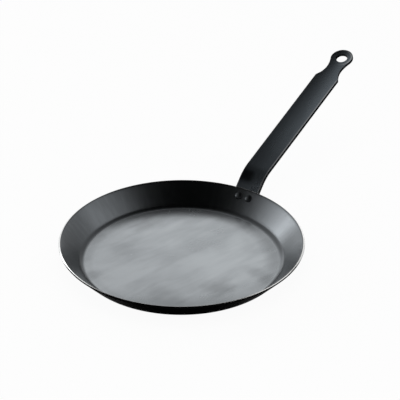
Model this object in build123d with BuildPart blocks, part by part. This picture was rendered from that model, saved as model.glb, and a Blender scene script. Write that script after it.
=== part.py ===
from build123d import *
from math import asin, atan2, cos, degrees, radians, sin, sqrt
import os

os.makedirs("parts", exist_ok=True)

# A shallow crepe pan: one pressed steel dish and one bent strip handle, held by two rivets.
# Lengths are in millimetres and angles in degrees.
# The origin is the middle of the underside, +Z is up, and the handle points along +X.

# Dish, pressed from one disc of sheet steel
rim_diameter = 240.0  # across the outer edge of the rim
rim_height = 21.6  # from the underside to the outer edge of the rim
base_diameter = 198.5  # where the lines of the underside and the wall would meet
sheet_thickness = 2.0
floor_bend_radius = 8.4  # inside the dish, between floor and wall
rim_edge_radius = 0.35  # the rounding of the rim's two cut edges

# Handle, cut and bent from one strip of steel
strip_width = 27.2
strip_thickness = 3.0
strip_edge_radius = 0.5
tab_length = 17.2  # of the part that lies on the wall, below the rim
tab_corner_radius = 5.0
bend_radius = 40.3  # of the strip's upper face
bend_distance = 19.0  # from the rim, along the wall, to the corner that the bend rounds
handle_slope = 18.84  # above level, past the bend

# End of the handle: two shoulders, a narrow neck and an eye to hang the pan by
eye_distance = 183.3  # from the bend's corner to the middle of the eye
eye_radius = 12.0
hang_hole_radius = 5.9
neck_distance = 17.0  # from the narrowest place to the middle of the eye
neck_width = 17.3
neck_radius = 25.0  # of the hollow between the shoulder and the narrowest place
shoulder_distance = 32.4  # from the shoulders to the middle of the eye
shoulder_run = 2.7  # of the slanting corner, along the strip
shoulder_radius = 1.0

# Rivets, side by side in the middle of the tab
rivet_pitch = 11.4
shank_diameter = 5.0
shank_clearance = 0.05  # all round the shank, in the holes
inner_head_diameter = 8.0
inner_head_height = 1.7
outer_head_diameter = 9.0
outer_head_height = 2.2
head_edge_share = 0.25  # the upright edge of a head, as a share of its height

# The wall, in the plane of the handle
rim_radius = rim_diameter / 2
base_radius = base_diameter / 2
wall_slope = degrees(atan2(rim_height, rim_radius - base_radius))
rim_point = Vector(rim_radius, 0, rim_height)
up_wall = Vector(cos(radians(wall_slope)), 0, sin(radians(wall_slope)))
out_of_wall = Vector(up_wall.Z, 0, -up_wall.X)


def wall_fall(half_width):
    """How far the round wall falls away from a flat strip, at this distance from its middle."""
    return (base_radius - sqrt(base_radius**2 - half_width**2)) * up_wall.Z


def wall_plane(drop, angle):
    """A plane on the wall's outer face, this far below the rim and turned round the pan from the handle."""
    place = rim_point - up_wall * drop
    origin, along, outward = [vector.rotate(Axis.Z, angle) for vector in (place, up_wall, out_of_wall)]
    return Plane(origin=origin, x_dir=along, z_dir=outward)


# The dish before its holes are made: the cut edge of the rim stands square to the wall
with BuildPart() as dish_form:
    with BuildSketch(Plane.XZ):
        with BuildLine():
            FilletPolyline(
                (0, 0),
                (base_radius, 0),
                (rim_radius, rim_height),
                radius=floor_bend_radius + sheet_thickness,
            )
            offset(amount=sheet_thickness, side=Side.LEFT)
        make_face()
    revolve(axis=Axis.Z)

# The strip's upper face is pressed a little into the line of the wall, so that the wall's curve
# is let into the tab and the tab's edges reach the wall.
seat_depth = wall_fall(strip_width / 2)
seat = out_of_wall * -seat_depth
tab_end = rim_point - up_wall * tab_length + seat
bend_corner = rim_point + up_wall * bend_distance + seat
along_handle = Vector(cos(radians(handle_slope)), 0, sin(radians(handle_slope)))
handle_plane = Plane(origin=bend_corner, x_dir=along_handle, z_dir=along_handle.cross(Axis.Y.direction))
handle_tip = bend_corner + along_handle * (eye_distance + eye_radius)

# Each side of the neck is two hollow arcs, the second of which runs smoothly into the round of the eye
half_neck = neck_width / 2
neck_middle = Vector(eye_distance - neck_distance, half_neck)
shoulder = Vector(eye_distance - shoulder_distance, strip_width / 2)
hollow_start = shoulder.X + shoulder_run
hollow_depth = neck_radius - sqrt(neck_radius**2 - (neck_middle.X - hollow_start) ** 2)
neck_start = Vector(hollow_start, half_neck + hollow_depth)
eye_hollow_radius = (neck_distance**2 + half_neck**2 - eye_radius**2) / (2 * (eye_radius - half_neck))
eye_centre = Vector(eye_distance, 0)
hollow_centre = neck_middle + Vector(0, eye_hollow_radius)
neck_end = eye_centre + (hollow_centre - eye_centre).normalized() * eye_radius

# The handle before its rivet holes are made: the strip's side view, cut to its outline from above
with BuildPart() as handle_form:
    with BuildSketch(Plane.XZ):
        with BuildLine():
            FilletPolyline(
                (tab_end.X, tab_end.Z),
                (bend_corner.X, bend_corner.Z),
                (handle_tip.X, handle_tip.Z),
                radius=bend_radius,
            )
            offset(amount=strip_thickness, side=Side.RIGHT)
        make_face()
    extrude(amount=strip_width / 2, both=True)

    with BuildSketch(handle_plane) as outline:
        with BuildLine():
            tab_side = Vector(-tab_length - bend_distance, strip_width / 2)
            Polyline((tab_side.X, 0), tab_side, shoulder, neck_start)
            RadiusArc(neck_start, neck_middle, -neck_radius)
            RadiusArc(neck_middle, neck_end, -eye_hollow_radius)
            RadiusArc(neck_end, eye_centre + Vector(eye_radius, 0), eye_radius)
            mirror(about=Plane.XZ)
        make_face()
        fillet(outline.vertices().filter_by_position(Axis.X, shoulder.X, hollow_start), shoulder_radius)
        with Locations(eye_centre):
            Circle(hang_hole_radius, mode=Mode.SUBTRACT)
    extrude(amount=eye_distance, both=True, mode=Mode.INTERSECT)

    tab_corners = handle_form.edges().filter_by(Axis((0, 0, 0), out_of_wall))
    fillet(tab_corners, tab_corner_radius)
    through_the_strip = handle_form.edges().filter_by(Axis((0, 0, 0), out_of_wall))
    through_the_strip += handle_form.edges().filter_by(Axis((0, 0, 0), handle_plane.z_dir))
    bend_lines = handle_form.edges().filter_by(Axis.Y).sort_by(Axis.X)[2:]
    fillet(handle_form.edges() - through_the_strip - bend_lines, strip_edge_radius)
    add(dish_form.part, mode=Mode.SUBTRACT)

# Places of the two rivets, one at each side of the handle's middle line
rivet_drop = tab_length / 2
rivet_angle = degrees(asin(rivet_pitch / 2 / (rim_radius - rivet_drop * up_wall.X)))
rivet_planes = {
    "rivet_left": wall_plane(rivet_drop, -rivet_angle),
    "rivet_right": wall_plane(rivet_drop, rivet_angle),
}
tab_thickness = strip_thickness - seat_depth + wall_fall(rivet_pitch / 2)
hole_radius = shank_diameter / 2 + shank_clearance
hole_reach = sheet_thickness + strip_thickness

with BuildPart() as pan_body:
    add(dish_form.part)
    rim_edges = pan_body.edges().filter_by(GeomType.CIRCLE).sort_by(Axis.Z)[-2:]
    fillet(rim_edges, rim_edge_radius)
    with BuildSketch(*rivet_planes.values()):
        Circle(hole_radius)
    extrude(amount=hole_reach, both=True, mode=Mode.SUBTRACT)

with BuildPart() as handle:
    add(handle_form.part)
    with BuildSketch(*rivet_planes.values()):
        Circle(hole_radius)
    extrude(amount=hole_reach, both=True, mode=Mode.SUBTRACT)


def head_section(plane, diameter, height, foot):
    """Half of a low domed head on a plane, with a foot below the plane for the plate to trim."""
    edge = Vector(diameter / 2, height * head_edge_share)
    with BuildSketch(Plane(origin=plane.origin, x_dir=plane.x_dir, z_dir=-plane.y_dir)) as section:
        with BuildLine():
            TangentArc((0, height), edge, tangent=(1, 0))
            Polyline(edge, (edge.X, -foot), (0, -foot), (0, height))
        make_face()
    return section.sketch


def make_rivet(plane):
    """A rivet with its heads formed on the round wall and on the strip, and a shank between them."""
    inside = Plane(origin=plane.origin - plane.z_dir * sheet_thickness, x_dir=plane.x_dir, z_dir=-plane.z_dir)
    outside = plane.offset(tab_thickness)
    inner_edge = inner_head_height * head_edge_share
    outer_edge = outer_head_height * head_edge_share
    with BuildPart() as rivet:
        axis = Axis(plane.origin, plane.z_dir)
        revolve(head_section(inside, inner_head_diameter, inner_head_height, sheet_thickness / 2), axis=axis)
        revolve(head_section(outside, outer_head_diameter, outer_head_height, strip_thickness / 2), axis=axis)
        add(dish_form.part, mode=Mode.SUBTRACT)
        add(handle_form.part, mode=Mode.SUBTRACT)
        with BuildSketch(plane.offset(-sheet_thickness - inner_edge)):
            Circle(shank_diameter / 2)
        extrude(amount=inner_edge + sheet_thickness + tab_thickness + outer_edge)
    return rivet.part


pan_body.part.label = "pan_body"
export_step(pan_body.part, "parts/pan_body.step")
handle.part.label = "handle"
export_step(handle.part, "parts/handle.step")
for name, plane in rivet_planes.items():
    rivet = make_rivet(plane)
    rivet.label = name
    export_step(rivet, f"parts/{name}.step")
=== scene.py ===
"""Looks of a steel crepe pan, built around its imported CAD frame.

The dish and the rivets grow from Geometry Nodes, and the strip handle is a mesh laid along the
strip's own path. Every length is in metres, in the frame of the CAD model: the origin is the middle
of the underside, +Z is up and the handle points along +X.
"""
import logging
import math
from collections.abc import Mapping, Sequence
from dataclasses import dataclass, field
from enum import Enum
from typing import NamedTuple

import bpy
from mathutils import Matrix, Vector
from mathutils.geometry import delaunay_2d_cdt


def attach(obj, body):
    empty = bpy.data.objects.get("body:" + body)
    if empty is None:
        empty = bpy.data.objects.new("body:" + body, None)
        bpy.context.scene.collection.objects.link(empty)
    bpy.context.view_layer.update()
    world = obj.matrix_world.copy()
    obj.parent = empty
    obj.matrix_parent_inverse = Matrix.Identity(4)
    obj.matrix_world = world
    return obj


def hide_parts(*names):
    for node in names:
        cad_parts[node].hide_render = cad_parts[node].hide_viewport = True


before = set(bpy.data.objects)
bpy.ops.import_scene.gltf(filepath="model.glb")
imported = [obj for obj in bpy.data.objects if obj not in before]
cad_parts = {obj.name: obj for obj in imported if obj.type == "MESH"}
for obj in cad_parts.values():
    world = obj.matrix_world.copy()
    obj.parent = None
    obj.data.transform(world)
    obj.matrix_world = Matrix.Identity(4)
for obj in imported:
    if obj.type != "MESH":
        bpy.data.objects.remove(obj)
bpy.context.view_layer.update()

log = logging.getLogger("crepe_pan")

Colour = tuple[float, float, float]
Point = tuple[float, float]
Place = tuple[float, float, float]
# Where a range of values starts and ends, and what its ends become where that isn't 0 and 1
Ramp = tuple[float, ...]

BLACK: Colour = (0.0, 0.0, 0.0)
WHITE: Colour = (1.0, 1.0, 1.0)
# Level directions as the pan lies in the photograph: to its far side and to its right side
AWAY: Point = (0.835, 0.55)
RIGHT: Point = (0.55, -0.835)


class Blend(Enum):
    """How a value goes from its low end to its high end."""

    STRAIGHT = "LINEAR"
    SMOOTH = "SMOOTHSTEP"


class Link:
    """An output socket of a node, on which Python's operators add Math nodes."""

    def __init__(self, maker: "NodeMaker", socket: bpy.types.NodeSocket) -> None:
        """Keeps the socket and the maker of its tree."""
        self.maker = maker
        self.socket = socket

    def __add__(self, other: "Value") -> "Link":
        """This value and another, added."""
        return self.maker.sum("ADD", self, other)

    def __radd__(self, other: "Value") -> "Link":
        """A number and this value, added."""
        return self.maker.sum("ADD", other, self)

    def __sub__(self, other: "Value") -> "Link":
        """This value less another."""
        return self.maker.sum("SUBTRACT", self, other)

    def __rsub__(self, other: "Value") -> "Link":
        """A number less this value."""
        return self.maker.sum("SUBTRACT", other, self)

    def __mul__(self, other: "Value") -> "Link":
        """This value times another."""
        return self.maker.sum("MULTIPLY", self, other)

    def __rmul__(self, other: "Value") -> "Link":
        """A number times this value."""
        return self.maker.sum("MULTIPLY", other, self)

    def __truediv__(self, other: "Value") -> "Link":
        """This value over another."""
        return self.maker.sum("DIVIDE", self, other)

    def __rtruediv__(self, other: "Value") -> "Link":
        """A number over this value."""
        return self.maker.sum("DIVIDE", other, self)

    def __neg__(self) -> "Link":
        """This value with its sign turned."""
        return self.maker.sum("MULTIPLY", self, -1.0)


Value = Link | float | int | bool | str | Sequence[float] | bpy.types.ID


class NodeMaker:
    """Adds nodes to one node tree, of a material, the world or Geometry Nodes."""

    def __init__(self, tree: bpy.types.NodeTree) -> None:
        """Empties the tree and keeps it."""
        tree.nodes.clear()
        self.tree = tree

    def add(
        self,
        kind: str,
        settings: Mapping[str, object] | None = None,
        inputs: Mapping[str | int, Value] | None = None,
        output: str | int = 0,
    ) -> Link:
        """Adds any node.

        Args:
            kind: The node's type.
            settings: The node's own settings, which are set first. "choices" is the number of an
                Index Switch's items.
            inputs: Numbers or links, by the names or places of the sockets.
            output: The name or place of the output that is wanted.

        Returns:
            The wanted output.
        """
        node = self.tree.nodes.new(kind)
        for name, setting in (settings or {}).items():
            if name == "choices":
                while len(node.index_switch_items) < setting:
                    node.index_switch_items.new()
            else:
                setattr(node, name, setting)
        for key, value in (inputs or {}).items():
            self._fill(self._pick(node.inputs, key), value)
        return Link(self, self._pick(node.outputs, output))

    def end(self, kind: str, key: str, result: Link) -> None:
        """Adds an output node, and links the tree's result to one of its sockets."""
        self._fill(self.tree.nodes.new(kind).inputs[key], result)

    @staticmethod
    def _pick(sockets: bpy.types.bpy_prop_collection, key: str | int) -> bpy.types.NodeSocket:
        """Finds a socket.

        Args:
            sockets: A node's inputs or outputs.
            key: The socket's place, or the name of the one in use.

        Returns:
            The socket.
        """
        if isinstance(key, int):
            return sockets[key]
        return next(socket for socket in sockets if socket.name == key and socket.enabled)

    def _fill(self, socket: bpy.types.NodeSocket, value: Value) -> None:
        """Links a socket, or sets its own value.

        Args:
            socket: The input socket.
            value: A link, or the value. A colour may leave out its alpha.
        """
        if isinstance(value, Link):
            self.tree.links.new(value.socket, socket)
        elif socket.type == "RGBA" and len(value) == 3:
            socket.default_value = (*value, 1.0)
        else:
            socket.default_value = value

    def sum(self, operation: str, *values: Value) -> Link:
        """Adds a Math node on one or more values."""
        return self.add("ShaderNodeMath", {"operation": operation}, dict(enumerate(values)))

    def most(self, first: Value, *others: Value) -> Link:
        """Gives the largest of two or more values.

        Args:
            first: The first value.
            others: The other values.

        Returns:
            The largest.
        """
        largest = first
        for other in others:
            largest = self.sum("MAXIMUM", largest, other)
        return largest

    def vector(self, operation: str, *values: Value, output: str | int = 0) -> Link:
        """Adds a Vector Math node on one or more vectors."""
        return self.add("ShaderNodeVectorMath", {"operation": operation}, dict(enumerate(values)), output)

    def parts(self, vector: Link) -> tuple[Link, Link, Link]:
        """Takes a vector apart into its three numbers."""
        apart = self.add("ShaderNodeSeparateXYZ", None, {0: vector})
        return tuple(Link(self, socket) for socket in apart.socket.node.outputs)

    def point(self, x: Value, y: Value, z: Value) -> Link:
        """Puts three numbers together into a vector."""
        return self.add("ShaderNodeCombineXYZ", None, {0: x, 1: y, 2: z})

    def spread(
        self,
        value: Value,
        low: float,
        high: float,
        start: Value = 0.0,
        end: Value = 1.0,
        blend: Blend = Blend.SMOOTH,
    ) -> Link:
        """Carries a value from one range to another.

        Args:
            value: The value.
            low: Where the range starts. It may be above high.
            high: Where the range ends.
            start: What low becomes.
            end: What high becomes.
            blend: The course between them.

        Returns:
            The new value, held between start and end.
        """
        inputs = {"Value": value, "From Min": low, "From Max": high, "To Min": start, "To Max": end}
        return self.add("ShaderNodeMapRange", {"interpolation_type": blend.value}, inputs)

    def mix(self, share: Value, first: Value, second: Value) -> Link:
        """Mixes two colours: share 0 is the first, and 1 the second."""
        return self.add("ShaderNodeMix", {"data_type": "RGBA"}, {"Factor": share, "A": first, "B": second}, "Result")

    def layer(self, share: Value, under: Link, over: Link) -> Link:
        """Lays a shader over another: share 0 shows the one under it, and 1 the one over it."""
        return self.add("ShaderNodeMixShader", None, {0: share, 1: under, 2: over})

    def stored(self, name: str) -> Link:
        """Reads a number that the mesh keeps for each of its points."""
        return self.add("ShaderNodeAttribute", {"attribute_name": name}, None, "Fac")

    def noise(self, place: Link, repeats: float, detail: float, warp: float = 0.0) -> Link:
        """Adds a Noise Texture on a place in space, and gives its grey value."""
        inputs = {"Vector": place, "Scale": repeats, "Detail": detail, "Distortion": warp}
        return self.add("ShaderNodeTexNoise", None, inputs)

    def stretch(self, place: Link, scale: Place, turn: float = 0.0) -> Link:
        """Turns a place about Z and then scales its axes.

        Args:
            place: The place.
            scale: What each axis is multiplied by.
            turn: The turn, in degrees.

        Returns:
            The new place.
        """
        settings = {"rotation_type": "Z_AXIS"}
        inputs = {"Vector": place, "Angle": math.radians(turn)}
        return self.vector("MULTIPLY", self.add("ShaderNodeVectorRotate", settings, inputs), scale)


@dataclass(frozen=True)
class Pattern:
    """A noise that is stretched along the axes: its repeats in a metre, its detail and its warp."""

    repeats: Place
    detail: float
    warp: float = 0.0

    def value(self, maker: NodeMaker, place: Link, turn: float = 0.0) -> Link:
        """Adds the noise on a place, turned about Z by degrees, and gives its grey value."""
        return maker.noise(maker.stretch(place, self.repeats, turn), 1.0, self.detail, self.warp)


@dataclass(frozen=True)
class Wall:
    """The flared wall of the dish, by the lines of its outer face, and the sheet it is pressed from."""

    rim_radius: float = 0.120
    rim_height: float = 0.0216
    base_radius: float = 0.09925
    degrees: float = 46.15
    sheet: float = 0.002

    @property
    def slope(self) -> float:
        """How far the wall leans up from level, in radians."""
        return math.radians(self.degrees)


WALL = Wall()


class DishPlace:
    """The shaded point of the dish, measured against the dish's axis and its wall."""

    def __init__(self, maker: NodeMaker) -> None:
        """Adds the nodes that measure it.

        Args:
            maker: The material's nodes.
        """
        self.maker = maker
        self.spot = maker.add("ShaderNodeTexCoord", None, None, "Object")
        self.x, self.y, self.z = maker.parts(self.spot)
        self.radius = maker.sum("SQRT", self.x * self.x + self.y * self.y)
        out, up = self.radius - WALL.rim_radius, self.z - WALL.rim_height
        cosine, sine = math.cos(WALL.slope), math.sin(WALL.slope)
        self.up_wall = out * cosine + up * sine
        self.off_wall = out * sine - up * cosine

    def along(self, way: Point) -> Link:
        """How far the point lies from the axis in a level direction."""
        return self.x * way[0] + self.y * way[1]

    def distance(self, other: Place) -> Link:
        """How far the point lies from another."""
        return self.maker.vector("DISTANCE", self.spot, other, output="Value")


@dataclass(frozen=True)
class Finish:
    """What every steel finish has: a name, and the method that makes its material."""

    name: str
    grazing: float = 0.45

    def material(self) -> bpy.types.Material:
        """Makes the material.

        Returns:
            A material whose nodes follow this finish.
        """
        material = bpy.data.materials.new(self.name)
        material.use_nodes = True
        maker = NodeMaker(material.node_tree)
        maker.end("ShaderNodeOutputMaterial", "Surface", self.shader(maker))
        return material

    def shader(self, maker: NodeMaker) -> Link:
        """Makes the nodes of the finish, up to its shader."""
        raise NotImplementedError

    @staticmethod
    def bump(maker: NodeMaker, height: Link, depth: float) -> Link:
        """Turns a height into a bumped normal, where a height of 1 stands out by the depth in metres."""
        return maker.add("ShaderNodeBump", None, {"Strength": 1.0, "Distance": depth, "Height": height})

    @staticmethod
    def metal(maker: NodeMaker, colour: Value, roughness: Value, normal: Link, grazing: float) -> Link:
        """Adds the shader of a metal.

        Args:
            maker: The material's nodes.
            colour: What the metal gives back of the light that falls straight on it.
            roughness: Its roughness.
            normal: Its bumped normal.
            grazing: What it gives back of the light that skims it, as a share of a clean metal's.

        Returns:
            The shader.
        """
        inputs = {
            "Base Color": colour,
            "Metallic": 1.0,
            "Roughness": roughness,
            "Specular Tint": (grazing, grazing, grazing),
            "Normal": normal,
        }
        return maker.add("ShaderNodeBsdfPrincipled", None, inputs)


@dataclass(frozen=True)
class Stain:
    """A dull patch on the floor: its middle, its reach with and across the rubbing, and its strength. One of them is
    painted shade along the near edge.
    """

    middle: Point
    reach: Point
    share: float


@dataclass(frozen=True)
class WallMark:
    """A soft patch of painted light on the wall, by its middle, its reach, its strength and its colour: a light
    colour paints a highlight, and black paints shade.
    """

    middle: Place
    reach: float
    share: float
    tone: Colour


@dataclass(frozen=True)
class PanSteel(Finish):
    """Bare carbon steel: a rubbed, cloudy floor with painted shade, a darker wall with painted highlight and shade,
    a bright cut rim with painted highlight and shade, and an outside sooted black and darkened as painted shade.
    """

    # The floor: soft clouds that run the way it was rubbed
    floor: Colour = (0.66, 0.699, 0.728)
    floor_dark: Colour = (0.54, 0.574, 0.599)
    floor_middle: Point = (-0.0009, -0.0006)
    rub_turn: float = 16.0
    clouds: Pattern = Pattern((11.0, 52.0, 10.0), 3.0, 0.2)
    blots: Pattern = Pattern((14.0, 19.0, 10.0), 4.0, 0.4)
    streaks: Pattern = Pattern((20.0, 150.0, 10.0), 4.0, 0.1)
    grain: Pattern = Pattern((260.0, 1500.0, 500.0), 2.0)
    cloud_share: float = 0.34
    blot_share: float = 0.50
    streak_share: float = 0.16
    cloudy: Ramp = (0.36, 0.60)
    # The floor: painted shade towards one side and on the near side, and darker round its edge
    shaded_side: Point = (0.951, -0.309)
    side_shade: Ramp = (0.068, -0.068, 0.04, 0.22)
    ring_shade: Ramp = (0.074, 0.092, 0.0, 0.29)
    near_shade: Ramp = (-0.050, -0.085, 0.0, 0.38)
    # The floor's dull patches, whose edges waver with the clouds, one of them painted shade
    stains: tuple[Stain, ...] = (
        Stain((-0.023, -0.058), (0.015, 0.012), 0.28),
        Stain((0.0165, -0.077), (0.009, 0.016), 0.20),
        Stain((0.029, 0.066), (0.016, 0.011), 0.20),
        Stain((-0.071, 0.056), (0.010, 0.008), 0.15),
        Stain((-0.019, 0.057), (0.012, 0.016), 0.07),
        # Painted shade along the near edge of the floor
        Stain((-0.070, -0.036), (0.012, 0.030), 0.14),
    )
    stain_edge: Point = (1.5, 0.3)
    stain_waver: float = 1.6
    # The wall: scale that is brushed round it, and painted shade at its foot, by the distance from the axis
    wall: Colour = (0.170, 0.183, 0.194)
    wall_start: Ramp = (0.0948, 0.0975)
    brush_round: float = 26.0
    brush_out: float = 60.0
    brush_detail: float = 3.0
    brush_share: float = 0.4
    scale: Ramp = (0.62, 0.36, 0.0, 0.18)
    foot_inside: Ramp = (0.0962, 0.0985)
    foot_outside: Ramp = (0.1025, 0.0995)
    foot_share: float = 0.4
    # Painted highlight on the right side of the wall, and painted shade on its left side
    marks: tuple[WallMark, ...] = (
        WallMark((0.0460, -0.0960, 0.011), 0.034, 0.42, (0.34, 0.366, 0.388)),
        WallMark((-0.0488, 0.0942, 0.010), 0.030, 0.28, BLACK),
    )
    mark_core: float = 0.24
    # A line of painted shade just under the rim, and the cut rim, by the distance up the wall from the rim's outer
    # edge. The cut is bare steel made brighter as painted highlight, with painted shade towards the left side
    lip: Colour = (0.092, 0.099, 0.105)
    lip_start: Ramp = (-0.0018, -0.0008)
    cut: Colour = (0.97, 0.97, 0.96)
    dull_cut: Colour = (0.72, 0.73, 0.73)
    dull_side: Ramp = (-0.7, 0.2)
    cut_start: Ramp = (-0.00032, -0.00016)
    cut_waver: float = 0.0001
    cut_repeats: float = 900.0
    cut_detail: float = 3.0
    # The outside, sooted black and darkened further as painted shade in place of the dark it reflects, by
    # shares of the sheet's thickness. On the near side this black is painted further over the cut edge as shade
    outside: Colour = (0.005, 0.0052, 0.0055)
    soot_line: Ramp = (-0.030, -0.055, 0.2, 0.6)
    burr: float = 0.05
    soot_blur: float = 0.04
    underside: Point = (0.5, 0.25)
    # How rough each zone is, how it shines when seen at a slant, and how deep its grain is
    grain_share: float = 0.2
    floor_rough: Ramp = (0.40, 0.75, 0.28, 0.22)
    cut_rough: float = 0.22
    wall_rough: float = 0.29
    wall_grazing: float = 1.0
    outside_rough: float = 0.42
    outside_grazing: float = 0.0
    grain_depth: float = 0.00001

    def shader(self, maker: NodeMaker) -> Link:
        """Makes the floor, the wall, the cut rim and the outside, each laid over the one before.

        Args:
            maker: The material's nodes.

        Returns:
            The shader.
        """
        here = DishPlace(maker)
        clouds, blots, streaks, grain = (
            pattern.value(maker, here.spot, self.rub_turn)
            for pattern in (self.clouds, self.blots, self.streaks, self.grain)
        )
        worn_radius = here.distance((*self.floor_middle, WALL.sheet))
        on_wall = maker.spread(worn_radius, *self.wall_start)
        is_cut, is_outside = self.zones(here)
        floor = self.stained(here, self.floor_colour(here, worn_radius, clouds, blots, streaks), clouds + blots)
        # Painted highlight on the cut rim, with painted shade towards its left side
        cut_highlight = maker.spread(here.along(RIGHT) / here.radius, *self.dull_side)
        colour = maker.mix(on_wall, floor, self.wall_colour(here, blots))
        colour = maker.mix(is_cut, colour, maker.mix(cut_highlight, self.dull_cut, self.cut))

        rough = maker.spread(blots + grain * self.grain_share, *self.floor_rough)
        rough = rough + (self.cut_rough - rough) * is_cut
        wall_rough = self.wall_rough + (self.cut_rough - self.wall_rough) * is_cut
        normal = self.bump(maker, grain, self.grain_depth)
        bare = self.metal(maker, colour, rough, normal, self.grazing)
        scaled = self.metal(maker, colour, wall_rough, normal, self.wall_grazing)
        # The outside: sooted black, and painted shade in place of the dark it reflects
        sooted_and_shaded = self.metal(maker, self.outside, self.outside_rough, normal, self.outside_grazing)
        return maker.layer(is_outside, maker.layer(on_wall, bare, scaled), sooted_and_shaded)

    def floor_colour(self, here: DishPlace, worn_radius: Link, clouds: Link, blots: Link, streaks: Link) -> Link:
        """Makes the clouds of the floor, and over them painted shade towards one side and on the near side, and a
        darker ring round its edge.

        Args:
            here: The point.
            worn_radius: Its distance from the middle of the worn floor.
            clouds: The long clouds.
            blots: The round ones.
            streaks: The fine ones.

        Returns:
            The colour.
        """
        maker = here.maker
        cloud = clouds * self.cloud_share + blots * self.blot_share + streaks * self.streak_share
        # Painted shade towards one side and on the near side, and a darker ring round the floor's edge
        shade = maker.most(
            maker.spread(here.along(self.shaded_side), *self.side_shade, blend=Blend.STRAIGHT),
            maker.spread(worn_radius, *self.ring_shade),
            maker.spread(here.along(AWAY), *self.near_shade),
        )
        return maker.mix(shade, maker.mix(maker.spread(cloud, *self.cloudy), self.floor_dark, self.floor), BLACK)

    def stained(self, here: DishPlace, floor: Link, cloud: Link) -> Link:
        """Lays the dull patches over the floor, one of them painted shade.

        Args:
            here: The point.
            floor: The floor's colour.
            cloud: Two noises added, which make the patches' edges waver.

        Returns:
            The colour with its dull patches.
        """
        maker = here.maker
        waver = (cloud - 1.0) * self.stain_waver
        patches = []
        for floor_patch in self.stains:
            spot = maker.vector("SUBTRACT", here.spot, (*floor_patch.middle, WALL.sheet))
            spot = maker.stretch(spot, (1.0 / floor_patch.reach[0], 1.0 / floor_patch.reach[1], 1.0), self.rub_turn)
            far = maker.vector("LENGTH", spot, output="Value") + waver
            patches.append(maker.spread(far, *self.stain_edge, 0.0, floor_patch.share))
        return maker.mix(maker.most(*patches), floor, BLACK)

    def wall_colour(self, here: DishPlace, blots: Link) -> Link:
        """Makes the wall with its brushed scale, painted shade at its foot, patches of painted highlight and painted
        shade, and a line of painted shade just under the rim.

        Args:
            here: The point.
            blots: The round clouds, which the scale shares with the floor.

        Returns:
            The colour.
        """
        maker, radius, away = here.maker, here.radius, here.along(AWAY)
        around = maker.point(
            here.x / radius * self.brush_round, here.y / radius * self.brush_round, radius * self.brush_out
        )
        brushed = maker.noise(around, 1.0, self.brush_detail)
        # Painted shade where the wall meets the floor, strongest on the left and right sides
        foot = maker.spread(radius, *self.foot_inside) * maker.spread(radius, *self.foot_outside)
        foot = foot * (1.0 - away * away / (radius * radius)) * self.foot_share
        scale = maker.spread(brushed * self.brush_share + blots * (1.0 - self.brush_share), *self.scale)
        wall = maker.mix(maker.most(foot, scale), self.wall, BLACK)
        # Lays the patches of painted highlight and painted shade over the wall
        for wall_patch in self.marks:
            far, core = here.distance(wall_patch.middle), self.mark_core * wall_patch.reach
            wall = maker.mix(maker.spread(far, wall_patch.reach, core, 0.0, wall_patch.share), wall, wall_patch.tone)
        # A line of painted shade just under the rim
        return maker.mix(maker.spread(here.up_wall, *self.lip_start), wall, self.lip)

    def zones(self, here: DishPlace) -> tuple[Link, Link]:
        """Finds the cut rim and the outside.

        Args:
            here: The point.

        Returns:
            How far the point is on the rim's cut edge, and how far it is on the black outside.
        """
        maker, sheet = here.maker, WALL.sheet
        # On the near side the outside's black reaches further over the cut edge: painted shade
        off_band = here.off_wall + maker.spread(here.along(AWAY), *self.soot_line) * sheet
        burr = maker.spread(off_band, self.burr * sheet, -self.burr * sheet)
        off_wall = maker.spread(off_band, -self.soot_blur * sheet, self.soot_blur * sheet)
        under = maker.spread(here.z, *(share * sheet for share in self.underside))
        worn = maker.noise(here.spot, self.cut_repeats, self.cut_detail)
        is_cut = maker.spread(here.up_wall + (worn - 0.5) * self.cut_waver, *self.cut_start) * burr
        return is_cut, maker.most(off_wall, under) * (1.0 - is_cut)


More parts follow.
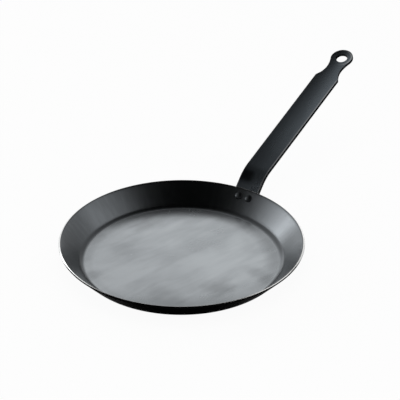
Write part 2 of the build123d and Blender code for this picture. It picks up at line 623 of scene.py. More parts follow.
@dataclass(frozen=True)
class HandleSteel(Finish):
    """Blued strip steel, with a grain along the strip, edges worn a little brighter and painted brighter still as
    highlight, and narrow sides painted dark as shade.

    Its ramps run along the strip from the tab's end, or across it from its middle line.
    """

    face: Colour = (0.190, 0.219, 0.245)
    face_dark: Colour = (0.160, 0.184, 0.206)
    clouds: Pattern = Pattern((18.0, 70.0, 1.0), 4.0, 0.4)
    grain: Pattern = Pattern((200.0, 2600.0, 1.0), 2.0)
    cloudy: Ramp = (0.35, 0.65)
    # Darker past the bend, and painted shade on one side of the bend
    soot_start: Ramp = (0.028, 0.042)
    soot_end: Ramp = (0.130, 0.045, 0.0, 0.42)
    bend_start: Ramp = (0.020, 0.029)
    bend_end: Ramp = (0.045, 0.034)
    bend_side: Ramp = (-0.006, 0.004, 0.0, 0.78)
    # Painted highlight lines that lie just inside the long edges and the round of the eye
    edge: Colour = (0.46, 0.47, 0.48)
    line_across: float = 0.0124
    line_blur: Ramp = (0.0009, 0.0004)
    line_end: Ramp = (0.1867, 0.1847, 0.0, 0.8)
    eye: Place = (0.2191, 0.0, 0.0)
    ring_radius: float = 0.0104
    ring_blur: Ramp = (0.0010, 0.0004)
    ring_start: Ramp = (0.2051, 0.2151)
    ring_side: Ramp = (0.004, -0.005, 0.1, 1.0)
    # Chips, which break up the lines and the worn edges. The worn edges carry painted highlight as well, and both
    # are painted brighter on one side
    chip_repeats: float = 420.0
    chip_detail: float = 4.0
    chipped: Ramp = (0.3, 0.5, 0.5, 1.0)
    wear_share: float = 0.75
    chip_share: float = 0.7
    worn: Ramp = (0.82, 1.12)
    worn_side: Ramp = (0.006, -0.006, 0.15, 1.0)
    # How rough the faces are, how deep their grain and chips are, and the narrow sides and underside, painted dark
    # as shade
    rough_share: float = 0.7
    rough: Ramp = (0.35, 0.65, 0.32, 0.26)
    grain_share: float = 0.6
    depth: float = 0.00003
    side: Colour = (0.012, 0.013, 0.014)
    side_start: Ramp = (0.3, 0.7)
    side_rough: float = 0.45
    side_grazing: float = 0.05

    def shader(self, maker: NodeMaker) -> Link:
        """Makes the clouds and the grain on the strip's own coordinates, and the wear on its edges.

        Args:
            maker: The material's nodes.

        Returns:
            The shader.
        """
        strip = maker.add("ShaderNodeUVMap", {"uv_map": "strip"})
        far, across, _ = maker.parts(strip)
        clouds, grain = self.clouds.value(maker, strip), self.grain.value(maker, strip)
        place = maker.add("ShaderNodeTexCoord", None, None, "Object")
        chips = maker.noise(place, self.chip_repeats, self.chip_detail)
        lines = self.lines(maker, strip, far, across) * maker.spread(chips, *self.chipped)
        wear = maker.spread(maker.stored("wear") * self.wear_share + chips * self.chip_share, *self.worn)
        # The worn edges and the lines beside them: wear, and painted highlight that is brighter on one side
        rubbed = maker.most(wear, lines) * maker.spread(across, *self.worn_side)
        colour = maker.mix(maker.spread(clouds, *self.cloudy), self.face_dark, self.face)
        colour = maker.mix(self.soot(maker, far, across), colour, BLACK)
        colour = maker.mix(rubbed, colour, self.edge)

        rough = maker.spread(clouds * self.rough_share + grain * (1.0 - self.rough_share), *self.rough)
        normal = self.bump(maker, grain * self.grain_share + chips * (1.0 - self.grain_share), self.depth)
        face = self.metal(maker, colour, rough, normal, self.grazing)
        # The narrow sides and the underside: a near-black copy of the steel, as painted shade
        sides = self.metal(maker, self.side, self.side_rough, normal, self.side_grazing)
        return maker.layer(maker.spread(maker.stored("side"), *self.side_start), face, sides)

    def lines(self, maker: NodeMaker, strip: Link, far: Link, across: Link) -> Link:
        """Finds the lines of painted highlight beside the long edges and round the eye.

        Args:
            maker: The material's nodes.
            strip: The point on the strip.
            far: Its distance along the strip.
            across: Its distance across it.

        Returns:
            How far the point is on one of the painted highlight lines.
        """
        off_line = maker.sum("ABSOLUTE", maker.sum("ABSOLUTE", across) - self.line_across)
        beside = maker.spread(off_line, *self.line_blur) * maker.spread(far, *self.line_end)
        off_eye = maker.vector("DISTANCE", strip, self.eye, output="Value")
        off_ring = maker.sum("ABSOLUTE", off_eye - self.ring_radius)
        ring = maker.spread(off_ring, *self.ring_blur) * maker.spread(far, *self.ring_start)
        return maker.most(beside, ring * maker.spread(across, *self.ring_side))

    def soot(self, maker: NodeMaker, far: Link, across: Link) -> Link:
        """Finds where the strip is darker: past the bend, and with painted shade on one side of the bend.

        Args:
            maker: The material's nodes.
            far: The point's distance along the strip.
            across: Its distance across it.

        Returns:
            How much darker the point is.
        """
        past_bend = maker.spread(far, *self.soot_start) * maker.spread(far, *self.soot_end)
        # Painted shade on one side of the bend
        in_bend = maker.spread(far, *self.bend_start) * maker.spread(far, *self.bend_end)
        return maker.most(past_bend, in_bend * maker.spread(across, *self.bend_side))


@dataclass(frozen=True)
class RivetSteel(Finish):
    """Dark steel heads, rubbed brighter on their crowns."""

    face: Colour = (0.050, 0.054, 0.057)
    crown: Colour = (0.066, 0.071, 0.075)
    crown_share: float = 0.7
    grit_share: float = 0.5
    rubbed: Ramp = (0.55, 0.95)
    dent_repeats: float = 320.0
    dent_detail: float = 2.0
    dent_share: float = 0.7
    grit_repeats: float = 1400.0
    grit_detail: float = 3.0
    rough: Ramp = (0.3, 0.7, 0.38, 0.50)
    depth: float = 0.00012

    def shader(self, maker: NodeMaker) -> Link:
        """Makes the worn crowns from the heads' own attribute, broken up with noise.

        Args:
            maker: The material's nodes.

        Returns:
            The shader.
        """
        place = maker.add("ShaderNodeTexCoord", None, None, "Object")
        dents = maker.noise(place, self.dent_repeats, self.dent_detail)
        grit = maker.noise(place, self.grit_repeats, self.grit_detail)
        rubbed = maker.spread(maker.stored("crown") * self.crown_share + grit * self.grit_share, *self.rubbed)
        normal = self.bump(maker, dents * self.dent_share + grit * (1.0 - self.dent_share), self.depth)
        colour = maker.mix(rubbed, self.face, self.crown)
        return self.metal(maker, colour, maker.spread(grit, *self.rough), normal, self.grazing)


def plant(name: str, data: bpy.types.ID) -> bpy.types.Object:
    """Puts a mesh, a lamp or a camera into the scene.

    Args:
        name: The new object's name.
        data: The mesh, lamp or camera.

    Returns:
        The object, at the origin.
    """
    piece = bpy.data.objects.new(name, data)
    bpy.context.scene.collection.objects.link(piece)
    return piece


class ShapeTree:
    """A Geometry Nodes tree with named inputs, which grows one plain mesh."""

    merge_distance = 1e-5

    def __init__(self, name: str, sizes: Mapping[str, float | int]) -> None:
        """Makes the tree and its inputs.

        Args:
            name: The tree's name.
            sizes: The value of each named input. Whole numbers make whole-number inputs.
        """
        self.name = name
        self.sizes = sizes
        self.tree = bpy.data.node_groups.new(name, "GeometryNodeTree")
        self.tree.interface.new_socket(name="Geometry", in_out="OUTPUT", socket_type="NodeSocketGeometry")
        for label, value in sizes.items():
            kind = "NodeSocketInt" if isinstance(value, int) else "NodeSocketFloat"
            self.tree.interface.new_socket(name=label, in_out="INPUT", socket_type=kind)
        self.tree.interface.new_socket(name="Material", in_out="INPUT", socket_type="NodeSocketMaterial")
        self.maker = NodeMaker(self.tree)
        self.given = self.tree.nodes.new("NodeGroupInput")

    def input(self, label: str) -> Link:
        """Gives a named input."""
        return Link(self.maker, self.given.outputs[label])

    def select(self, kind: str, choices: Sequence[Value]) -> Link:
        """Picks one of some choices by the index of the point.

        Args:
            kind: The data type of the choices.
            choices: The choices, from the first point's on.

        Returns:
            The point's own choice.
        """
        inputs: dict[str | int, Value] = {"Index": self.maker.add("GeometryNodeInputIndex")}
        inputs.update({str(number): choice for number, choice in enumerate(choices)})
        settings = {"data_type": kind, "choices": len(choices)}
        return self.maker.add("GeometryNodeIndexSwitch", settings, inputs)

    def polyline(self, corners: Sequence[tuple[Value, Value]]) -> Link:
        """Draws an open line through corners in an upright plane that holds the axis.

        Args:
            corners: Each corner's distance from the axis, and its height.

        Returns:
            The line, as a curve.
        """
        make = self.maker
        line = make.add("GeometryNodeMeshLine", None, {"Count": len(corners)})
        places = self.select("VECTOR", [make.point(x, height, 0.0) for x, height in corners])
        line = make.add("GeometryNodeSetPosition", None, {"Geometry": line, "Position": places})
        return make.add("GeometryNodeMeshToCurve", None, {"Mesh": line})

    def divided(self, curve: Link, spacing: Value) -> Link:
        """Divides each stretch of a curve.

        Args:
            curve: The curve.
            spacing: About how long its stretches may be.

        Returns:
            The divided curve.
        """
        make = self.maker
        here = make.add("GeometryNodeInputPosition")
        following = make.add("GeometryNodeOffsetPointInCurve", None, {"Offset": 1}, "Point Index")
        settings = {"data_type": "FLOAT_VECTOR", "domain": "POINT"}
        there = make.add("GeometryNodeFieldAtIndex", settings, {"Index": following, "Value": here})
        length = make.vector("DISTANCE", here, there, output="Value")
        cuts = make.sum("FLOOR", length / spacing)
        return make.add("GeometryNodeSubdivideCurve", None, {"Curve": curve, "Cuts": cuts})

    def revolved(self, profile: Link, segments: Value) -> Link:
        """Turns a profile about the Z axis.

        Args:
            profile: The profile, whose two ends lie on the axis.
            segments: The number of steps in the turn.

        Returns:
            A closed surface whose faces point outwards.
        """
        make = self.maker
        inputs = {"Geometry": profile, "Translation": (-1.0, 0.0, 0.0), "Rotation": (math.pi, 0.0, 0.0)}
        moved = make.add("GeometryNodeTransform", None, inputs)
        circle = make.add("GeometryNodeCurvePrimitiveCircle", None, {"Resolution": segments, "Radius": 1.0})
        path = make.add("GeometryNodeSetCurveNormal", {"mode": "Z_UP"}, {"Curve": circle})
        shell = make.add("GeometryNodeCurveToMesh", None, {"Curve": path, "Profile Curve": moved})
        shell = make.add("GeometryNodeFlipFaces", None, {"Mesh": shell})
        return make.add("GeometryNodeMergeByDistance", None, {"Geometry": shell, "Distance": self.merge_distance})

    def close(self, shape: Link) -> None:
        """Ends the tree: copies made real, smooth faces and the material.

        Args:
            shape: The finished shape.
        """
        make = self.maker
        real = make.add("GeometryNodeRealizeInstances", None, {"Geometry": shape})
        smooth = make.add("GeometryNodeSetShadeSmooth", None, {"Geometry": real})
        inputs = {"Geometry": smooth, "Material": self.input("Material")}
        dressed = make.add("GeometryNodeSetMaterial", None, inputs)
        make.end("NodeGroupOutput", "Geometry", dressed)

    def grow(self, material: bpy.types.Material) -> bpy.types.Object:
        """Runs the tree and turns its result into a plain mesh.

        Args:
            material: The material that the tree sets.

        Returns:
            The finished object, with no modifier.
        """
        piece = plant(self.name, bpy.data.meshes.new(self.name))
        modifier = piece.modifiers.new(self.name, "NODES")
        modifier.node_group = self.tree
        sockets = {item.name: item.identifier for item in self.tree.interface.items_tree if item.in_out == "INPUT"}
        for label, value in self.sizes.items():
            modifier[sockets[label]] = value
        modifier[sockets["Material"]] = material
        graph = bpy.context.evaluated_depsgraph_get()
        mesh = bpy.data.meshes.new_from_object(
            piece.evaluated_get(graph), preserve_all_data_layers=True, depsgraph=graph
        )
        piece.modifiers.clear()
        piece.data = mesh
        mesh.name = self.name
        mesh.materials.clear()
        mesh.materials.append(material)
        mesh.polygons.foreach_set("material_index", [0] * len(mesh.polygons))
        return piece


@dataclass
class Dish:
    """The dish, pressed from one disc of sheet steel."""

    floor_bend: float = 0.0084
    rim_edge: float = 0.00035
    ring_step: float = 0.003
    bend_steps: int = 16
    edge_steps: int = 5
    segments: int = 256
    finish: Finish = field(default_factory=lambda: PanSteel("pan_steel"))

    def build(self) -> bpy.types.Object:
        """Grows the dish by turning its section about the axis.

        Returns:
            The dish, which replaces its CAD node.
        """
        sizes = {
            "Rim Radius": WALL.rim_radius,
            "Rim Height": WALL.rim_height,
            "Base Radius": WALL.base_radius,
            "Sheet Thickness": WALL.sheet,
            "Floor Bend Radius": self.floor_bend,
            "Rim Edge Radius": self.rim_edge,
            "Ring Step": self.ring_step,
            "Bend Steps": self.bend_steps,
            "Edge Steps": self.edge_steps,
            "Segments": self.segments,
        }
        shape = ShapeTree("dish", sizes)
        rim, height, base, sheet, bend, edge, ring_step, bend_steps, edge_steps, segments = map(shape.input, sizes)
        run = rim - base
        length = shape.maker.sum("SQRT", run * run + height * height)
        cosine, sine = run / length, height / length
        half_tangent = sine / (cosine + 1.0)
        corners = [
            (0.0, 0.0),
            (base, 0.0),
            (rim, height),
            (rim - sheet * sine, height + sheet * cosine),
            (base - sheet * half_tangent, sheet),
            (0.0, sheet),
        ]
        radii = shape.select("FLOAT", [0.0, bend + sheet, edge, edge, bend, 0.0])
        counts = shape.select("INT", [1, bend_steps, edge_steps, edge_steps, bend_steps, 1])
        inputs = {"Curve": shape.polyline(corners), "Count": counts, "Radius": radii}
        section = shape.maker.add("GeometryNodeFilletCurve", {"mode": "POLY"}, inputs)
        shape.close(shape.revolved(shape.divided(section, ring_step), segments))
        piece = shape.grow(self.finish.material())
        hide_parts("pan_body")
        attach(piece, "root")
        return piece


def arc(centre: Point, radius: float, start: float, end: float, steps: int) -> list[Point]:
    """Points on an arc.

    Args:
        centre: The arc's centre.
        radius: Its radius.
        start: The angle of its first point, in radians.
        end: The angle of its last point.
        steps: The number of stretches between them.

    Returns:
        One point more than there are stretches.
    """
    angles = [start + (end - start) * step / steps for step in range(steps + 1)]
    return [(centre[0] + radius * math.cos(angle), centre[1] + radius * math.sin(angle)) for angle in angles]


def rounded(before: Point, corner: Point, after: Point, radius: float, steps: int) -> list[Point]:
    """Points on the arc that rounds a corner.

    Args:
        before: A point on the side before the corner.
        corner: The corner.
        after: A point on the side after it.
        radius: The rounding's radius.
        steps: The number of stretches.

    Returns:
        The points, from the first side to the second.
    """
    middle = Vector(corner)
    back, ahead = (Vector(before) - middle).normalized(), (Vector(after) - middle).normalized()
    half = back.angle(ahead) / 2
    centre = middle + (back + ahead).normalized() * (radius / math.sin(half))
    first = middle + back * (radius / math.tan(half)) - centre
    last = middle + ahead * (radius / math.tan(half)) - centre
    start = math.atan2(first.y, first.x)
    turn = math.remainder(math.atan2(last.y, last.x) - start, math.tau)
    return arc(tuple(centre), radius, start, start + turn, steps)


def clamped(value: float) -> float:
    """Holds a number between 0 and 1."""
    return min(max(value, 0.0), 1.0)


class StripPoint(NamedTuple):
    """A point of the strip laid flat, by its distances along, across and below the upper face."""

    u: float
    y: float
    depth: float
    wear: float
    side: float


class EdgeLine(NamedTuple):
    """A line along the strip's rounded edge, by its distances in from the outline and down."""

    inward: float
    depth: float
    wear: float
    side: float


@dataclass
class Handle:
    """The strip handle: a tab on the wall, a bend, two shoulders, a neck and an eye."""

    width: float = 0.0272
    thickness: float = 0.003
    edge: float = 0.0004
    tab: float = 0.0172
    tab_corner: float = 0.005
    bend_radius: float = 0.0403
    bend_distance: float = 0.0190
    slope: float = 18.84
    eye_distance: float = 0.1833
    eye_radius: float = 0.0120
    hole_radius: float = 0.0059
    neck_distance: float = 0.0170
    neck_width: float = 0.0173
    neck_radius: float = 0.025
    shoulder_distance: float = 0.0324
    shoulder_run: float = 0.0027
    shoulder_radius: float = 0.001
    hollow: float = 0.0003
    eye_hollow: float = 0.0011
    # How finely each form is divided. A grid point keeps a share of the grid clear of the outline,
    # and an arc keeps a gap to the rounding before it
    grid: float = 0.0022
    grid_gap: float = 0.45
    corner_steps: int = 10
    shoulder_steps: int = 6
    neck_steps: int = 12
    eye_neck_steps: int = 14
    eye_steps: int = 24
    hole_steps: int = 48
    edge_steps: int = 4
    arc_gap: float = 0.0002
    weld: float = 1e-9
    # Lines on the face beside the edge, as shares of its rounding, and the wear on each, which the finish paints as
    # wear and highlight
    wear_lines: tuple[Point, ...] = ((2.0, 0.0), (1.4, 1.0), (1.0, 0.6))
    finish: Finish = field(default_factory=lambda: HandleSteel("handle_steel"))

    def __post_init__(self) -> None:
        """Works out the strip's path."""
        up_wall = Vector((math.cos(WALL.slope), 0.0, math.sin(WALL.slope)))
        out_of_wall = Vector((up_wall.z, 0.0, -up_wall.x))
        seat = (WALL.base_radius - math.sqrt(WALL.base_radius**2 - (self.width / 2) ** 2)) * up_wall.z
        rim = Vector((WALL.rim_radius, 0.0, WALL.rim_height)) - out_of_wall * seat
        self.turn = WALL.slope - math.radians(self.slope)
        tangent = self.bend_radius * math.tan(self.turn / 2)
        self.rise = self.tab + self.bend_distance - tangent
        self.start = rim - up_wall * self.tab
        self.arc_centre = self.start + up_wall * self.rise + out_of_wall * self.bend_radius
        self.arc_length = self.bend_radius * self.turn
        self.eye = self.rise + self.arc_length - tangent + self.eye_distance

    def path(self, u: float) -> tuple[Vector, Vector]:
        """The strip's upper face.

        Args:
            u: The distance from the tab's end, along the upper face.

        Returns:
            The place on the middle line, and the direction out of the face.
        """
        angle = WALL.slope - min(max((u - self.rise) / self.bend_radius, 0.0), self.turn)
        along = Vector((math.cos(angle), 0.0, math.sin(angle)))
        normal = Vector((-along.z, 0.0, along.x))
        if u <= self.rise:
            return self.start + along * u, normal
        beyond = max(0.0, u - self.rise - self.arc_length)
        return self.arc_centre + normal * self.bend_radius + along * beyond, normal

    def place(self, u: float, y: float, depth: float) -> Vector:
        """Bends a point of the flat strip into place, and hollows the strip a little across.

        Args:
            u: The point's distance along the upper face.
            y: Its distance across it.
            depth: Its distance below it.

        Returns:
            The point in space.
        """
        point, normal = self.path(u)
        short_of_eye = self.eye - u
        deepest = self.hollow + (self.eye_hollow - self.hollow) * (1 - clamped(short_of_eye / self.eye_distance))
        run = self.shoulder_distance - self.neck_distance
        taper = 1 - clamped((short_of_eye - self.neck_distance) / run)
        half = self.width / 2 + (self.eye_radius - self.width / 2) * taper - self.edge
        fall = deepest * max(1 - (y**2 + min(short_of_eye, 0.0) ** 2) / half**2, 0.0)
        return point + Vector((0.0, y, 0.0)) - normal * (depth + fall)

    def outline(self) -> list[Point]:
        """The strip's outline laid flat.

        Returns:
            Its points, counterclockwise from the middle of the tab's end.
        """
        half, neck = self.width / 2, self.neck_width / 2
        shoulder = (self.eye - self.shoulder_distance, half)
        neck_x, step_x = self.eye - self.neck_distance, shoulder[0] + self.shoulder_run
        depth = self.neck_radius - math.sqrt(self.neck_radius**2 - (neck_x - step_x) ** 2)
        step = (step_x, neck + depth)
        first = math.atan2(step[1] - neck - self.neck_radius, step[0] - neck_x)
        ahead = first + math.pi / 2
        past_step = (step[0] + math.cos(ahead) * half, step[1] + math.sin(ahead) * half)
        neck_arc = arc((neck_x, neck + self.neck_radius), self.neck_radius, first, -math.pi / 2, self.neck_steps)
        hollow = (self.neck_distance**2 + neck**2 - self.eye_radius**2) / (2 * (self.eye_radius - neck))
        reach = math.atan2(neck + hollow, -self.neck_distance)
        side = [(0.0, 0.0)]
        side += rounded((0.0, 0.0), (0.0, half), shoulder, self.tab_corner, self.corner_steps)
        side += rounded((0.0, half), shoulder, step, self.shoulder_radius, self.shoulder_steps)
        side += rounded(shoulder, step, past_step, self.shoulder_radius, 1)
        side += [point for point in neck_arc if point[0] > side[-1][0] + self.arc_gap]
        side += arc((neck_x, neck + hollow), hollow, -math.pi / 2, reach - math.pi, self.eye_neck_steps)[1:]
        side += arc((self.eye, 0.0), self.eye_radius, reach, 0.0, self.eye_steps)[1:]
        other = [(u, -y) for u, y in reversed(side[1:-1])]
        return self.spaced(side + other)[::-1]

    def spaced(self, loop: Sequence[Point]) -> list[Point]:
        """Divides the long straight stretches of a closed line into steps of the grid.

        Args:
            loop: The line's points.

        Returns:
            The points of the divided line.
        """
        points: list[Point] = []
        for here, there in zip(loop, [*loop[1:], loop[0]]):
            steps = max(1, round(math.dist(here, there) / self.grid))
            points += [tuple(Vector(here).lerp(Vector(there), step / steps)) for step in range(steps)]
        return points

    @staticmethod
    def inset(loop: Sequence[Point], distance: float) -> list[Point]:
        """Moves a closed line to its left.

        Args:
            loop: The line's points.
            distance: How far it moves.

        Returns:
            The points of the moved line.
        """
        least_cosine = 0.5
        moved = []
        for before, here, after in zip([loop[-1], *loop[:-1]], loop, [*loop[1:], loop[0]]):
            first = (Vector(here) - Vector(before)).normalized()
            second = (Vector(after) - Vector(here)).normalized()
            along = (first + second).normalized()
            widen = distance / max(along.dot(second), least_cosine)
            moved.append((here[0] - along.y * widen, here[1] + along.x * widen))
        return moved

    def edge_section(self) -> list[EdgeLine]:
        """The strip's rounded edge.

        Returns:
            Its lines, from the upper face to the lower.
        """
        top = [EdgeLine(self.edge * share, 0.0, wear, 0.0) for share, wear in self.wear_lines]
        for step in range(1, self.edge_steps + 1):
            angle = math.pi / 2 * step / self.edge_steps
            top.append(EdgeLine(self.edge * (1 - math.sin(angle)), self.edge * (1 - math.cos(angle)), 0.0, 1.0))
        return top + [EdgeLine(line.inward, self.thickness - line.depth, 0.0, 1.0) for line in reversed(top)]

    def build(self) -> bpy.types.Object:
        """Builds the strip: rounded bands along its outline and its hole, and two filled faces.

        Returns:
            The handle, which replaces its CAD node.
        """
        hole = arc((self.eye, 0.0), self.hole_radius, 0.0, -math.tau, self.hole_steps)[:-1]
        flat: list[StripPoint] = []
        faces: list[tuple[int, ...]] = []
        rims: dict[bool, list[list[int]]] = {True: [], False: []}
        section = self.edge_section()
        for loop in (self.outline(), hole):
            rings = []
            for inward, *rest in section:
                rings.append(range(len(flat), len(flat) + len(loop)))
                flat += [StripPoint(u, y, *rest) for u, y in self.inset(loop, inward)]
            for upper, lower in zip(rings, rings[1:]):
                faces += [(upper[i - 1], lower[i - 1], lower[i], upper[i]) for i in range(len(loop))]
            rims[True].append(list(rings[0]))
            rims[False].append(list(rings[-1]))
        for is_top, loops in rims.items():
            faces += self.fill(flat, loops, is_top)
        piece = plant("handle_strip", self.mesh(flat, faces))
        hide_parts("handle")
        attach(piece, "root")
        return piece

    def mesh(self, flat: Sequence[StripPoint], faces: Sequence[tuple[int, ...]]) -> bpy.types.Mesh:
        """Makes the strip's mesh, with what its finish reads.

        Args:
            flat: The points of the flat strip.
            faces: Their indices, face by face.

        Returns:
            The mesh, bent into place.
        """
        mesh = bpy.data.meshes.new("handle_strip")
        mesh.from_pydata([self.place(spot.u, spot.y, spot.depth) for spot in flat], [], faces)
        for name in ("wear", "side"):
            stored = mesh.attributes.new(name, "FLOAT", "POINT")
            stored.data.foreach_set("value", [getattr(spot, name) for spot in flat])
        strip_map = mesh.uv_layers.new(name="strip")
        for corner in mesh.loops:
            spot = flat[corner.vertex_index]
            strip_map.data[corner.index].uv = (spot.u, spot.y + spot.depth)
        mesh.polygons.foreach_set("use_smooth", [True] * len(mesh.polygons))
        mesh.validate()
        mesh.materials.append(self.finish.material())
        return mesh

    def fill(self, flat: list[StripPoint], loops: Sequence[Sequence[int]], is_top: bool) -> list[tuple[int, ...]]:
        """Fills one face of the strip between its loops, with a grid of points inside.

        Args:
            flat: The strip's points so far, to which the grid's points are added.
            loops: The indices of the face's outer loop and of its loop round the hole.
            is_top: Whether this is the upper face.

        Returns:
            The new faces.
        """
        eye, depth = (self.eye, 0.0), flat[loops[0][0]].depth
        owners = [index for loop in loops for index in loop]
        border = [flat[index][:2] for index in owners]
        edges, start = [], 0
        for loop in loops:
            edges += [(start + i, start + (i + 1) % len(loop)) for i in range(len(loop))]
            start += len(loop)
        hole_reach = math.dist(flat[loops[1][0]][:2], eye)
        rows, columns = int(self.width / 2 / self.grid), int(max(u for u, _ in border) / self.grid)
        inner = []
        for column in range(1, columns):
            for row in range(-rows, rows + 1):
                spot = (column * self.grid, row * self.grid)
                is_steel = self.is_inside(spot, border[: len(loops[0])]) and math.dist(spot, eye) > hole_reach
                if is_steel and min(math.dist(spot, other) for other in border) > self.grid * self.grid_gap:
                    inner.append(spot)
        owners += range(len(flat), len(flat) + len(inner))
        flat += [StripPoint(u, y, depth, 0.0, 0.0 if is_top else 1.0) for u, y in inner]
        points = [Vector(spot) for spot in [*border, *inner]]
        _, _, triangles, origins, _, _ = delaunay_2d_cdt(points, edges, [], 1, self.weld)
        made = []
        for triangle in triangles:
            corners = [owners[origins[i][0]] for i in triangle]
            middle = (sum(flat[i].u for i in corners) / 3, sum(flat[i].y for i in corners) / 3)
            if math.dist(middle, eye) > hole_reach:
                made.append(tuple(corners) if is_top else tuple(reversed(corners)))
        return made

    @staticmethod
    def is_inside(spot: Point, loop: Sequence[Point]) -> bool:
        """Tells whether a point lies inside a closed line.

        Args:
            spot: The point.
            loop: The line's points.

        Returns:
            True where a ray from the point crosses the line an odd number of times.
        """
        crossings = 0
        for (u0, y0), (u1, y1) in zip(loop, [*loop[1:], loop[0]]):
            if (y0 > spot[1]) != (y1 > spot[1]) and spot[0] < u0 + (spot[1] - y0) * (u1 - u0) / (y1 - y0):
                crossings += 1
        return crossings % 2 == 1


@dataclass
class Rivets:
    """Two rivets side by side through wall and tab, each with a domed head inside and outside.

    They sit a drop down the wall from its rim and a pitch apart, where the tab's outer face lies the
    tab's thickness off the wall. The skirt is how far a head reaches into its plate.
    """

    drop: float = 0.0086
    pitch: float = 0.0114
    tab: float = 0.0029
    inner_diameter: float = 0.008
    inner_height: float = 0.0017
    outer_diameter: float = 0.009
    outer_height: float = 0.0022
    skirt: float = 0.0006
    segments: int = 48
    # A head's dome from crown to edge, as shares of its radius and its height
    dome: tuple[Point, ...] = (
        (0.0, 1.0),
        (0.25, 0.965),
        (0.5, 0.86),
        (0.72, 0.68),
        (0.88, 0.46),
        (0.97, 0.25),
        (1.0, 0.1),
    )
    finish: Finish = field(default_factory=lambda: RivetSteel("rivet_steel"))

    def build(self) -> bpy.types.Object:
        """Grows both rivets' heads on the wall, and copies them to each side of the handle's middle.

        Returns:
            The rivets, which replace their CAD nodes.
        """
        radius = WALL.rim_radius - self.drop * math.cos(WALL.slope)
        sizes = {
            "Radius": radius,
            "Height": WALL.rim_height - self.drop * math.sin(WALL.slope),
            "Side Angle": math.asin(self.pitch / 2 / radius),
            "Inner Diameter": self.inner_diameter,
            "Inner Height": self.inner_height,
            "Outer Diameter": self.outer_diameter,
            "Outer Height": self.outer_height,
            "Segments": self.segments,
        }
        shape = ShapeTree("rivets", sizes)
        make = shape.maker
        inner = self.head(shape, "Inner", WALL.sheet, -1.0)
        outer = self.head(shape, "Outer", self.tab, 1.0)
        pair = make.add("GeometryNodeJoinGeometry", None, {"Geometry": inner})
        make.tree.links.new(outer.socket, pair.socket.node.inputs[0])
        spot = make.point(shape.input("Radius"), 0.0, shape.input("Height"))
        turn = make.point(0.0, math.pi / 2 + WALL.slope, 0.0)
        inputs = {"Geometry": pair, "Translation": spot, "Rotation": turn}
        seated = make.add("GeometryNodeTransform", None, inputs)
        points = make.add("GeometryNodeMeshLine", None, {"Count": 2, "Offset": (0.0, 0.0, 0.0)})
        side = (make.add("GeometryNodeInputIndex") * 2.0 - 1.0) * shape.input("Side Angle")
        inputs = {"Points": points, "Instance": seated, "Rotation": make.point(0.0, 0.0, side)}
        shape.close(make.add("GeometryNodeInstanceOnPoints", None, inputs))
        piece = shape.grow(self.finish.material())
        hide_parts("rivet_left", "rivet_right")
        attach(piece, "root")
        return piece

    def head(self, shape: ShapeTree, which: str, lift: float, way: float) -> Link:
        """One domed head, standing on the plate.

        Args:
            shape: The rivets' tree.
            which: "Inner" or "Outer", the first word of the head's inputs.
            lift: How far the plate's face lies from the wall's outer face.
            way: 1 for a head that points out of the wall, and -1 for one that points into the dish.

        Returns:
            The head, with an attribute that is 1 at its crown and 0 at its edge.
        """
        make = shape.maker
        radius, height = shape.input(f"{which} Diameter") * 0.5, shape.input(f"{which} Height")
        corners: list[tuple[Value, Value]] = [(radius * far, height * up) for far, up in self.dome]
        corners += [(radius, -self.skirt), (0.0, -self.skirt)]
        head = shape.revolved(shape.polyline(corners[::-1]), shape.input("Segments"))
        x, y, _ = make.parts(make.add("GeometryNodeInputPosition"))
        far = make.sum("SQRT", x * x + y * y) / radius
        inputs = {"Geometry": head, "Name": "crown", "Value": 1.0 - far}
        head = make.add("GeometryNodeStoreNamedAttribute", {"data_type": "FLOAT", "domain": "POINT"}, inputs)
        rotation = (0.0, 0.0, 0.0) if way > 0 else (math.pi, 0.0, 0.0)
        inputs = {"Geometry": head, "Translation": (0.0, 0.0, way * lift), "Rotation": rotation}
        return make.add("GeometryNodeTransform", None, inputs)


@dataclass(frozen=True)
class SoftBox:
    """A soft box: its direction in degrees, its distance, its size and its level, where 1 is white."""

    name: str
    azimuth: float
    elevation: float
    distance: float
    size: Point
    level: float
    is_glossy: bool = True


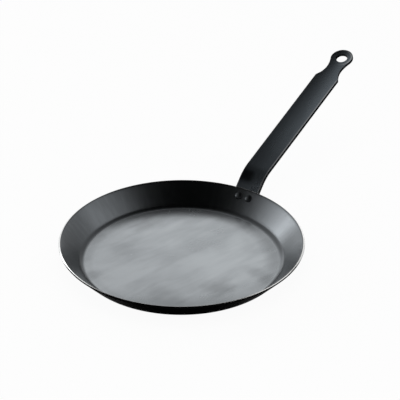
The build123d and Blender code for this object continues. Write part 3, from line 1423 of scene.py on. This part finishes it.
@dataclass
class Studio:
    """The floor, the light and the camera. Directions are in degrees."""

    target: Place = (0.10760, 0.04960, 0.0)
    azimuth: float = -56.6335
    elevation: float = 30.1275
    distance: float = 2.1289
    lens: float = 186.208
    sensor: float = 36.0
    view_end: float = 100.0
    # The white sweep, whose ramps are angles from straight behind the object or above level
    sweep_left: Point = (-100.0, -20.0)
    sweep_right: Point = (109.0, 96.0)
    sweep_top: Point = (70.0, 14.0)
    sweep_light: float = 1.02
    sweep_fall: float = 0.4675
    # The dimmer light from the camera's side
    back_sides: Point = (115.0, 150.0)
    back_top: Point = (34.0, 12.0)
    back_light: float = 0.4
    # The soft boxes. The last lights the floor, and metal doesn't show it
    boxes: tuple[SoftBox, ...] = (
        SoftBox("left_box", 195.0, 11.6, 2.0, (1.33, 0.79), 5.0),
        SoftBox("right_box", 21.9, 25.2, 2.0, (2.36, 1.84), 0.68),
        SoftBox("side_box", 211.0, 31.0, 2.0, (1.80, 0.50), 0.88),
        SoftBox("top_box", -56.6335, 78.0, 2.2, (2.4, 2.4), 1.3, False),
    )
    floor_radius: float = 30.0
    floor_sides: int = 64
    floor_colour: Colour = (0.9, 0.9, 0.9)
    floor_white: float = 0.95

    def build(self) -> None:
        """Makes the camera, the world, the soft boxes and the floor, and sets how colours show."""
        self.make_camera()
        self.make_world()
        for box in self.boxes:
            self.make_box(box)
        self.make_floor()
        bpy.context.scene.view_settings.view_transform = "Standard"

    @staticmethod
    def back(azimuth: float, elevation: float) -> Vector:
        """The direction from the object to a viewer or a soft box."""
        a, e = math.radians(azimuth), math.radians(elevation)
        return Vector((math.sin(a) * math.cos(e), -math.cos(a) * math.cos(e), math.sin(e)))

    def aim(self, name: str, data: bpy.types.ID, way: Vector, distance: float) -> bpy.types.Object:
        """Places a camera or a lamp so that it looks at the object.

        Args:
            name: The new object's name.
            data: The camera or the lamp.
            way: The direction from the object to it.
            distance: How far it stands from the object.

        Returns:
            The new object.
        """
        stand = plant(name, data)
        stand.location = Vector(self.target) + way * distance
        stand.rotation_mode = "QUATERNION"
        stand.rotation_quaternion = (-way).to_track_quat("-Z", "Y")
        return stand

    def make_camera(self) -> None:
        """Makes the camera at the photograph's place."""
        data = bpy.data.cameras.new("camera")
        data.lens, data.sensor_width, data.clip_end = self.lens, self.sensor, self.view_end
        way = self.back(self.azimuth, self.elevation)
        bpy.context.scene.camera = self.aim("camera", data, way, self.distance)

    def make_world(self) -> None:
        """Makes a white sweep behind the object and beside it, brighter on the left, under a dark ceiling."""
        world = bpy.data.worlds.new("studio")
        world.use_nodes = True
        make = NodeMaker(world.node_tree)
        x, y, up = make.parts(make.add("ShaderNodeTexCoord", None, None, "Generated"))
        away = -self.back(self.azimuth, 0.0)
        turn = make.sum("ARCTAN2", x * away.y - y * away.x, x * away.x + y * away.y)
        height = make.sum("ARCSINE", up)

        def fade(angle: Link, ends: Point, *levels: float) -> Link:
            """Goes from dark to light, or between two levels, from one angle to another."""
            return make.spread(angle, *map(math.radians, ends), *levels)

        sides = fade(turn, self.sweep_left) * fade(turn, self.sweep_right)
        sweep = sides * fade(height, self.sweep_top)
        sweep = sweep * make.most(self.sweep_light - self.sweep_fall * turn, 0.0)
        behind = fade(make.sum("ABSOLUTE", turn), self.back_sides, 0.0, self.back_light)
        level = sweep + behind * fade(height, self.back_top)
        background = make.add("ShaderNodeBackground", None, {"Color": WHITE, "Strength": level})
        make.end("ShaderNodeOutputWorld", "Surface", background)
        bpy.context.scene.world = world

    def make_box(self, box: SoftBox) -> None:
        """Makes a soft box that faces the object.

        Args:
            box: The soft box.
        """
        data = bpy.data.lights.new(box.name, "AREA")
        data.shape, data.size, data.size_y = "RECTANGLE", *box.size
        data.energy = box.level * math.pi * box.size[0] * box.size[1]
        lamp = self.aim(box.name, data, self.back(box.azimuth, box.elevation), box.distance)
        lamp.visible_camera = False
        lamp.visible_glossy = box.is_glossy

    def make_floor(self) -> None:
        """Makes a plain pale floor, white to the camera apart from the pan's soft shadow."""
        mesh = bpy.data.meshes.new("floor")
        circle = arc((0.0, 0.0), self.floor_radius, 0.0, math.tau, self.floor_sides)[:-1]
        mesh.from_pydata([(*spot, 0.0) for spot in circle], [], [range(self.floor_sides)])
        material = bpy.data.materials.new("floor")
        material.use_nodes = True
        make = NodeMaker(material.node_tree)
        matt = make.add("ShaderNodeBsdfDiffuse", None, {"Color": self.floor_colour})
        glow = make.add("ShaderNodeEmission", None, {"Color": WHITE, "Strength": 1.0})
        kinds = ("Camera", "Glossy", "Transmission")
        is_seen = make.most(*(make.add("ShaderNodeLightPath", None, None, f"Is {kind} Ray") for kind in kinds))
        make.end("ShaderNodeOutputMaterial", "Surface", make.layer(is_seen * self.floor_white, matt, glow))
        mesh.materials.append(material)
        plant("floor", mesh)


def main() -> None:
    """Builds the pan and the studio."""
    Studio().build()
    for part in (Dish(), Handle(), Rivets()):
        piece = part.build()
        log.info("%s: %d faces", piece.name, len(piece.data.polygons))


if __name__ == "__main__":
    logging.basicConfig(level=logging.INFO, format="%(name)s: %(message)s")
    main()
